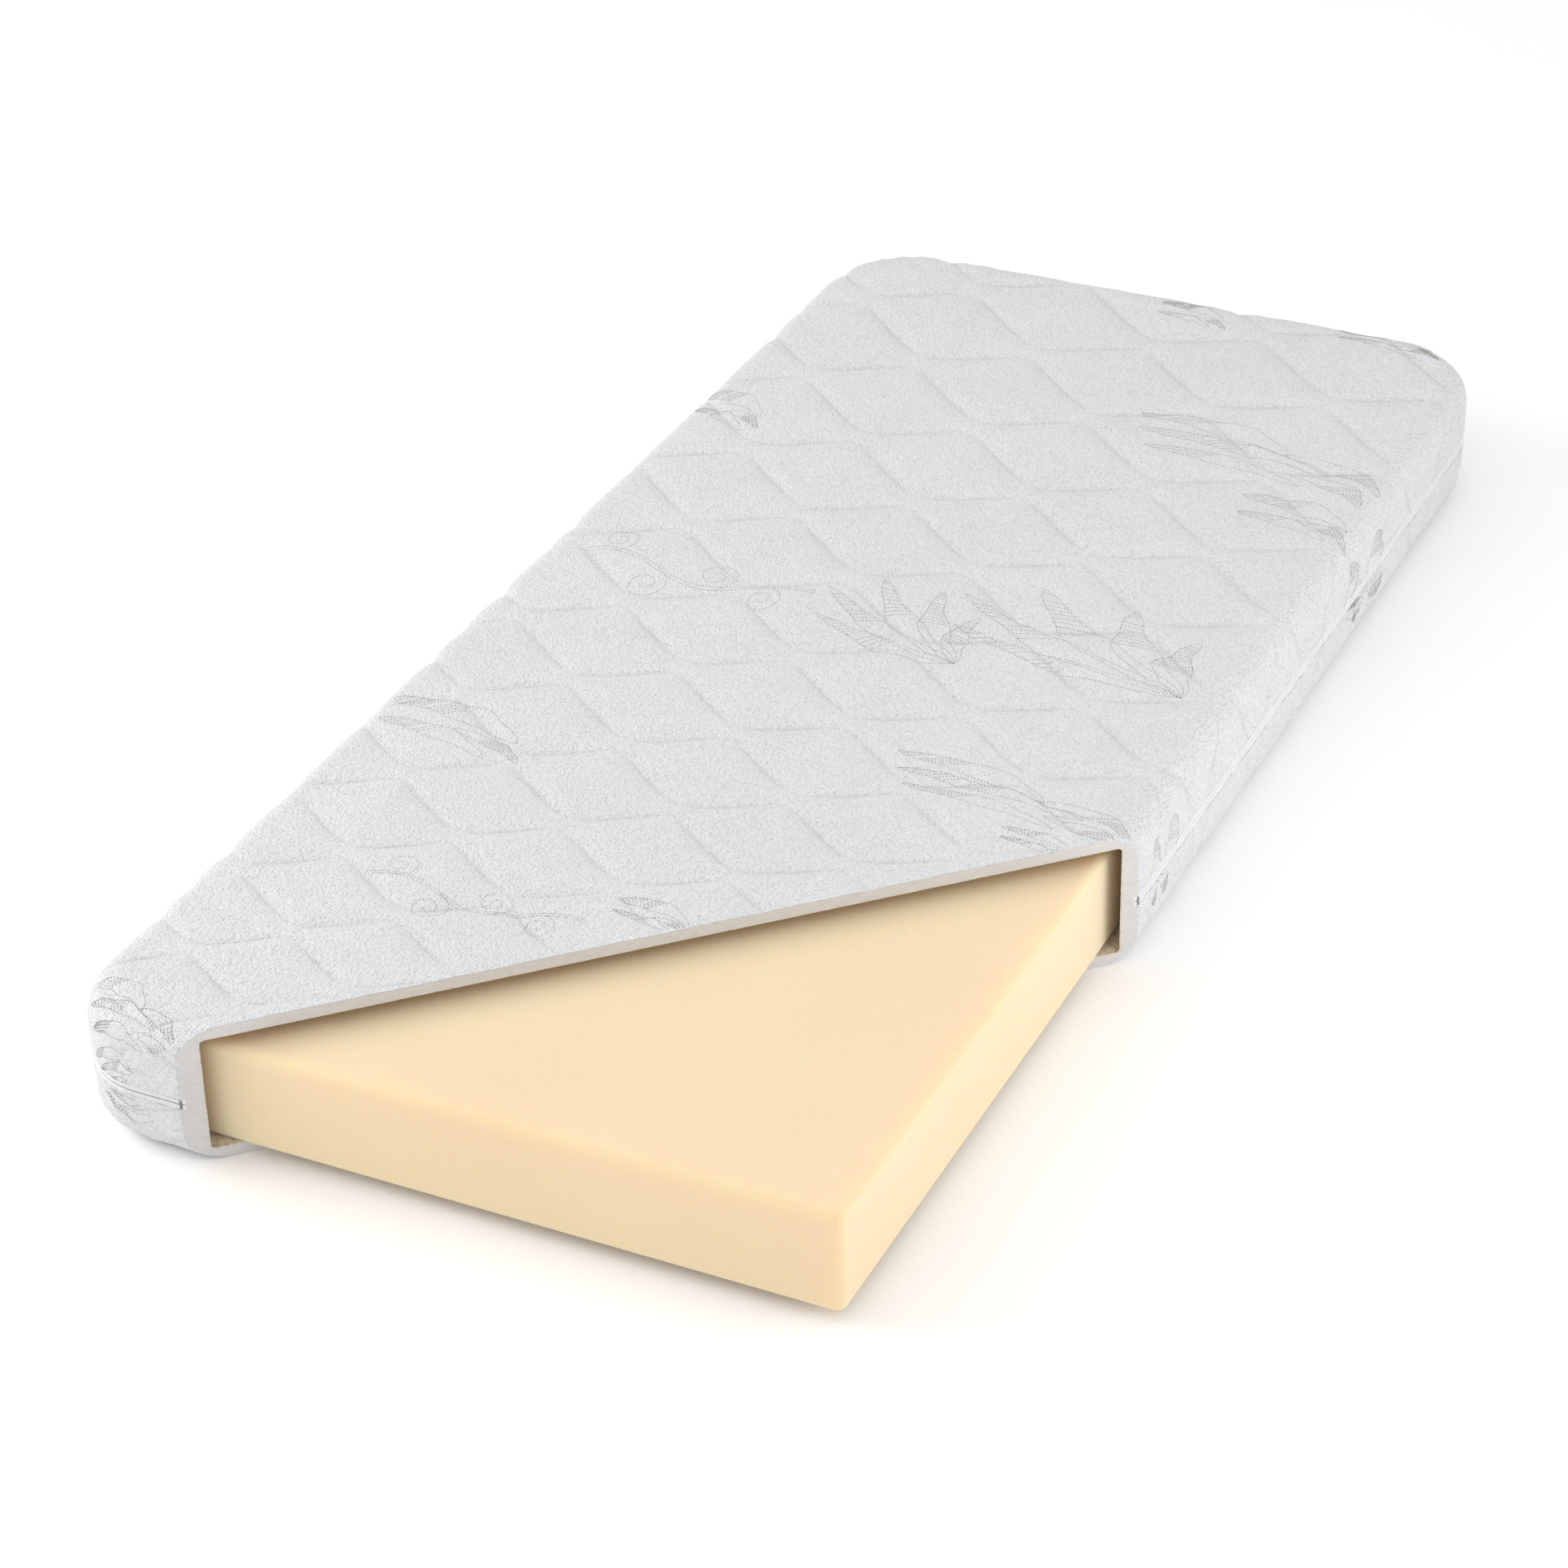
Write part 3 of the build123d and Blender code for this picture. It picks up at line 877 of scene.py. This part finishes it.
def wall_line(spacing):
    """Points round the wall, from the cut on the end wall to the cut on the long side."""
    points = []
    corners = (
        (-1, 1, CUT_END_R, math.pi),
        (1, 1, FAR_END_R, math.pi / 2),
        (1, -1, FAR_END_R, 0),
    )
    points.append(CUT_ON_END)
    for side_x, side_y, radius, start in corners:
        centre = np.array([side_x * (HALF_L - radius), side_y * (HALF_W - radius)])
        for turn in np.linspace(start, start - math.pi / 2, CORNER_STEPS):
            points.append(centre + radius * np.array([math.cos(turn), math.sin(turn)]))
    points.append(CUT_ON_SIDE)
    points = np.array(points)
    lengths = np.concatenate([[0], np.cumsum(np.hypot(*np.diff(points, axis=0).T))])
    count = int(lengths[-1] / spacing)
    at = np.linspace(0, lengths[-1], count + 1)
    line = np.stack([np.interp(at, lengths, points[:, i]) for i in (0, 1)], 1)
    tangent = np.gradient(line, axis=0)
    tangent /= np.linalg.norm(tangent, axis=1)[:, None]
    return line, np.stack([-tangent[:, 1], tangent[:, 0]], 1)


def slide_to_cut(points):
    """Moves the two ends of a run of sections along the wall, onto the cutting plane."""
    for i, direction in ((0, (0.0, 1.0)), (-1, (1.0, 0.0))):
        speed = direction[0] * CUT_NORMAL[0] + direction[1] * CUT_NORMAL[1]
        gap = past_cut(points[i, :, 0], points[i, :, 1])
        points[i, :, 0] -= gap / speed * direction[0]
        points[i, :, 1] -= gap / speed * direction[1]


def swept(name, half, line, outward, section, material, ends=None):
    """A closed section of (inset, z) points swept along the wall, in one or two runs."""
    section = np.array(section)
    plan = line[:, None] - outward[:, None] * section[None, :, :1]
    points = np.concatenate([plan, np.broadcast_to(section[:, 1:], plan.shape[:2] + (1,))], 2)
    slide_to_cut(points)
    runs = [points]
    if ends:
        on_side = line[:, 1] > HALF_W - ON_WALL
        before = points[: int(np.argmax(on_side & (line[:, 0] > ends[0])))]
        after = points[int(np.argmax(on_side & (line[:, 0] > ends[1]))) :]
        before[-1, :, 0], after[0, :, 0] = ends
        runs = [before, after]
    verts, faces = [], []
    width = len(section)
    for run in runs:
        start = len(verts)
        verts += run.reshape(-1, 3).tolist()
        for i in range(len(run) - 1):
            for j in range(width):
                k = (j + 1) % width
                a, b = start + i * width, start + (i + 1) * width
                faces.append((a + j, b + j, b + k, a + k))
        faces.append(tuple(range(start + width - 1, start - 1, -1)))
        faces.append(tuple(range(len(verts) - width, len(verts))))
    new_object(name, verts, faces, half.body, material, sharp=50)


def round_section(inset, back, low, high, steps=7):
    """Section of a cord that bulges outwards between two heights."""
    turns = np.linspace(-math.pi / 2, math.pi / 2, steps)
    middle, reach = (low + high) / 2, (high - low) / 2
    return [(back - (back - inset) * math.cos(t), middle + reach * math.sin(t)) for t in turns]


def flat_section(inset, low, high, back=TAPE_INSET):
    """Section of a flat band with eased edges between two heights."""
    return [
        (back, low),
        (inset + BAND_EASE, low),
        (inset, low + BAND_EASE),
        (inset, high - BAND_EASE),
        (inset + BAND_EASE, high),
        (back, high),
    ]


def zip_teeth(half, row_end):
    """One row of the coil: the part of each turn that shows between the tape cords."""
    line, outward = wall_line(TOOTH_PITCH)
    line, outward = line[1:-1], outward[1:-1]
    near = TOOTH_FROM_STOP
    open_part = (line[:, 0] > row_end - near) & (line[:, 0] < ROW_START_X + near)
    open_part &= line[:, 1] > HALF_W - ON_WALL
    line, outward = line[~open_part], outward[~open_part]
    tangent = np.stack([outward[:, 1], -outward[:, 0]], 1)
    side = 1 if half.upper else -1
    arc = [(math.sin(t), math.cos(t)) for t in np.linspace(-math.pi / 2, math.pi / 2, 6)]
    verts = []
    for height, scale in TOOTH_LEVELS:
        for across, out in arc:
            inset = TAPE_INSET - TOOTH_OFF_TAPE - TOOTH_OUT * out * scale
            plan = line - outward * inset + tangent * across * TOOTH_REACH * scale
            z = np.full((len(line), 1), ZIP_Z + side * height)
            verts.append(np.concatenate([plan, z], 1))
    verts = np.stack(verts, 1)
    count = len(arc)
    shape = []
    for level in range(len(TOOTH_LEVELS) - 1):
        for j in range(count):
            k = (j + 1) % count
            a, b = level * count, (level + 1) * count
            shape.append((a + j, a + k, b + k, b + j))
    shape.append(tuple(range(count)))
    total = len(TOOTH_LEVELS) * count
    shape.append(tuple(range(total - 1, total - count - 1, -1)))
    faces = []
    for base in range(0, len(line) * total, total):
        for face in shape:
            face = tuple(base + v for v in face)
            faces.append(face if half.upper else face[::-1])
    verts = verts.reshape(-1, 3)
    obj = new_object(half.name + "_zip_teeth", verts, faces, half.body, COIL, sharp=60)
    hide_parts(half.name + "_zip_coil_slider_run", half.name + "_zip_coil_far_run")


def zip_bands(half, row_end):
    """The cord that covers the backs of the teeth, and the facing between it and the lip."""
    side = 1 if half.upper else -1
    line, outward = wall_line(0.012)
    low, high = sorted((ZIP_Z + side * CORD_FROM, ZIP_Z + side * CORD_TO))
    cord = round_section(COIL_INSET - CORD_OUT, TAPE_INSET, low, high)
    ends = (row_end, ROW_START_X)
    swept(half.name + "_zip_cord", half, line, outward, cord, TAPE, ends)
    low, high = sorted((ZIP_Z + side * FACING_FROM, half.lip_z - side * 0.0001))
    facing = flat_section(FACING_INSET, low, high)
    swept(half.name + "_zip_facing", half, line, outward, facing, TAPE, FACING_GAP)


def zip_end_shade_pieces(half):
    """The zip's two ends at the cut: dark pieces of painted shade, for the shaded inside of the
    cut zip.
    """
    side = 1 if half.upper else -1
    low, high = sorted((ZIP_Z + side * END_SHADE_FROM, half.lip_z - side * 0.0003))
    section = flat_section(END_SHADE_INSET, low, high, END_SHADE_BACK)
    count = len(section)
    faces = [tuple(range(count)), tuple(range(2 * count - 1, count - 1, -1))]
    faces += [(j, j + count, (j + 1) % count + count, (j + 1) % count) for j in range(count)]
    for name, wall, out, along in (
        ("_zip_end_shade_on_end_wall", CUT_ON_END, (-1.0, 0.0), (0.0, 1.0)),
        ("_zip_end_shade_on_side_wall", CUT_ON_SIDE, (0.0, -1.0), (1.0, 0.0)),
    ):
        out, along = np.array(out), np.array(along)
        verts = []
        for reach in END_SHADE_REACH:
            for inset, z in section:
                place = wall - out * inset
                place = place - along * (past_cut(*place) / (along @ CUT_NORMAL)) + along * reach
                verts.append((*place, z))
        new_object(half.name + name, verts, faces, half.body, ZIP_END_SHADE, sharp=50)


def lip_seam(half):
    """A row of stitches round the wall, just off the lip, which holds the tape."""
    line, outward = wall_line(0.01)
    s = half.end - LEDGE - LIP_R * math.pi / 2 - SEAM_OFF_LIP
    shift = EDGE_R - s  # the spread-out fabric lies further out than the wall
    path = line - outward * shift
    path = path[past_cut(*line.T) > 0.004]
    stitch_piece(half, half.name + "_lip_seam", [path], SEAM_THREAD, 0.0008, 0.0003)


# ---------------------------------------------------------------- foam
FOAM_SWAY = 0.0004
FOAM_FACE_INSETS = (0.32, 0.2, 0.12, 0.07, 0.035, 0.018)  # rings on its top and bottom faces
FOAM_LEAST_R = 0.0004
CORNER_POINTS = 13
SIDE_STEPS = (20, 44)  # along the short and the long sides
STILL_RINGS = 16  # the sway grows over this many rings, from none at the bottom


def foam_ring(inset, z):
    """Outline of the foam at a height, set in, with the same number of points each time."""
    low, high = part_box("foam_core")
    points = []
    for side_x, side_y, start in ((1, -1, -0.5), (1, 1, 0), (-1, 1, 0.5), (-1, -1, 1)):
        shown = side_x < 0 and side_y < 0
        radius = FOAM_CORNER_R if shown else FOAM_HIDDEN_CORNER_R
        radius = max(radius - inset, FOAM_LEAST_R)
        corner_x = (high.x if side_x > 0 else low.x) - side_x * (inset + radius)
        corner_y = (high.y if side_y > 0 else low.y) - side_y * (inset + radius)
        for turn in np.linspace(start, start + 0.5, CORNER_POINTS) * math.pi:
            points.append((corner_x + radius * math.cos(turn), corner_y + radius * math.sin(turn)))
    ring = []
    for i, (x, y) in enumerate(points):
        next_x, next_y = points[(i + 1) % len(points)]
        corner, place = divmod(i, CORNER_POINTS)
        steps = SIDE_STEPS[corner % 2] if place == CORNER_POINTS - 1 else 1
        for step in range(steps):
            t = step / steps
            ring.append((x + (next_x - x) * t, y + (next_y - y) * t, z))
    return ring


def foam_sway(x, y, z):
    """Small hollows and swells that a cut foam block has."""
    wave = math.sin(7.1 * x + 2.0 * y + 0.6) + 0.6 * math.sin(11.3 * y - 5.2 * x + 9 * z)
    return FOAM_SWAY * wave


def foam_block():
    """The foam core as a soft-edged block whose faces are very slightly uneven."""
    low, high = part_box("foam_core")
    edge = FOAM_EDGE_R
    rings = [foam_ring(inset, low.z) for inset in FOAM_FACE_INSETS]
    for turn in np.linspace(0, math.pi / 2, 8):
        rings.append(foam_ring(edge * (1 - math.sin(turn)), low.z + edge * (1 - math.cos(turn))))
    for z in np.linspace(low.z + edge, high.z - edge, 9)[1:-1]:
        rings.append(foam_ring(0.0, z))
    for turn in np.linspace(math.pi / 2, 0, 8):
        rings.append(foam_ring(edge * (1 - math.sin(turn)), high.z - edge * (1 - math.cos(turn))))
    rings += [foam_ring(inset, high.z) for inset in FOAM_FACE_INSETS[::-1]]
    count = len(rings[0])
    verts = []
    for level, ring in enumerate(rings):
        share = min(1.0, level / STILL_RINGS)
        for x, y, z in ring:
            sway = foam_sway(x, y, z) * share
            dent = abs(sway)
            verts.append((x - math.copysign(dent, x), y - math.copysign(dent, y), z - dent))
    faces = [tuple(range(count))[::-1], tuple(range(len(verts) - count, len(verts)))]
    for level in range(len(rings) - 1):
        a, b = level * count, (level + 1) * count
        for i in range(count):
            j = (i + 1) % count
            faces.append((a + i, a + j, b + j, b + i))
    obj = new_object("foam_block", verts, faces, "foam", FOAM)
    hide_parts("foam_core")


# ---------------------------------------------------------------- stage
VIEW_AZIMUTH = math.radians(63.821)
VIEW_ELEVATION = math.radians(32.21)
VIEW_ROLL = math.radians(-1.458)
VIEW_DISTANCE = 4.7992
VIEW_LEFT, VIEW_DOWN = 0.0926, 0.0367  # the camera's place beside the line to the origin
LENS = 93.535
SENSOR = 36
SURROUND = 0.94
FLOOR_SIZE = 60


def camera():
    """A camera at the view's angle: azimuth, elevation and a small roll."""
    azimuth, elevation, roll = VIEW_AZIMUTH, VIEW_ELEVATION, VIEW_ROLL
    back = Vector(
        (
            -math.sin(azimuth) * math.cos(elevation),
            -math.cos(azimuth) * math.cos(elevation),
            math.sin(elevation),
        )
    )
    right = (-back).cross(Vector((0, 0, 1))).normalized()
    up = right.cross(-back)
    right, up = (
        right * math.cos(roll) + up * math.sin(roll),
        up * math.cos(roll) - right * math.sin(roll),
    )
    data = bpy.data.cameras.new("camera")
    data.lens = LENS
    data.sensor_width = SENSOR
    data.clip_end = 100
    obj = bpy.data.objects.new("camera", data)
    bpy.context.scene.collection.objects.link(obj)
    place = back * VIEW_DISTANCE - right * VIEW_LEFT - up * VIEW_DOWN
    turn = Matrix((right, up, back)).transposed().to_4x4()
    obj.matrix_world = Matrix.Translation(place) @ turn
    bpy.context.scene.camera = obj


def area_light(name, place, target, size, power):
    """A soft white light that faces a target."""
    data = bpy.data.lights.new(name, "AREA")
    data.shape = "RECTANGLE"
    data.size, data.size_y = size
    data.energy = power
    obj = bpy.data.objects.new(name, data)
    bpy.context.scene.collection.objects.link(obj)
    obj.location = place
    obj.rotation_euler = (Vector(target) - Vector(place)).to_track_quat("-Z", "Y").to_euler()


def stage():
    """A plain pale floor, an even white surround and soft lights."""
    world = bpy.data.worlds.new("surround")
    bpy.context.scene.world = world
    world.use_nodes = True
    background = world.node_tree.nodes["Background"]
    background.inputs["Color"].default_value = (1, 1, 1, 1)
    background.inputs["Strength"].default_value = SURROUND
    area_light("window", (-1.3, 3.1, 2.0), (-0.5, 0, 0.1), (3.0, 1.2), 62)
    area_light("low_fill", (-0.15, -1.8, 0.5), (0.0, -0.45, 0.08), (1.6, 0.5), 8)
    bpy.ops.mesh.primitive_plane_add(size=FLOOR_SIZE, location=(0, 0, 0))
    floor = bpy.context.object
    floor.name = "floor"
    n = Nodes("floor")
    tone = n.noise(n.coordinates(), 3, 2.0)
    colour = n.ramp(tone, (0.3, (0.97, 0.97, 0.97)), (0.7, (0.98, 0.98, 0.98)))
    floor.data.materials.append(n.finish(colour, Roughness=0.9, Specular_IOR_Level=0.1))
    bpy.context.scene.view_settings.view_transform = "Standard"


def dress_cad_nodes():
    """Materials for the CAD nodes that stay."""
    for node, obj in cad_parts.items():
        if node.endswith("_lining"):
            material = LINING
        elif node.endswith("_tape"):
            material = TAPE
        elif node.endswith("_stop"):
            material = COIL
        elif node in ("zip_slider", "zip_pull_tab"):
            material = METAL
        else:
            continue
        obj.data.materials.clear()
        obj.data.materials.append(material)


camera()
stage()
dress_cad_nodes()
for half in HALVES:
    quilted_ticking(half)
    wadding_strip(half)
    quilting_thread(half)
    motifs(half, MOTIFS if half.upper else LOWER_MOTIFS)
    row_end = UPPER_ROW_END_X if half.upper else LOWER_ROW_END_X
    zip_teeth(half, row_end)
    zip_bands(half, row_end)
    zip_end_shade_pieces(half)
    lip_seam(half)
foam_block()
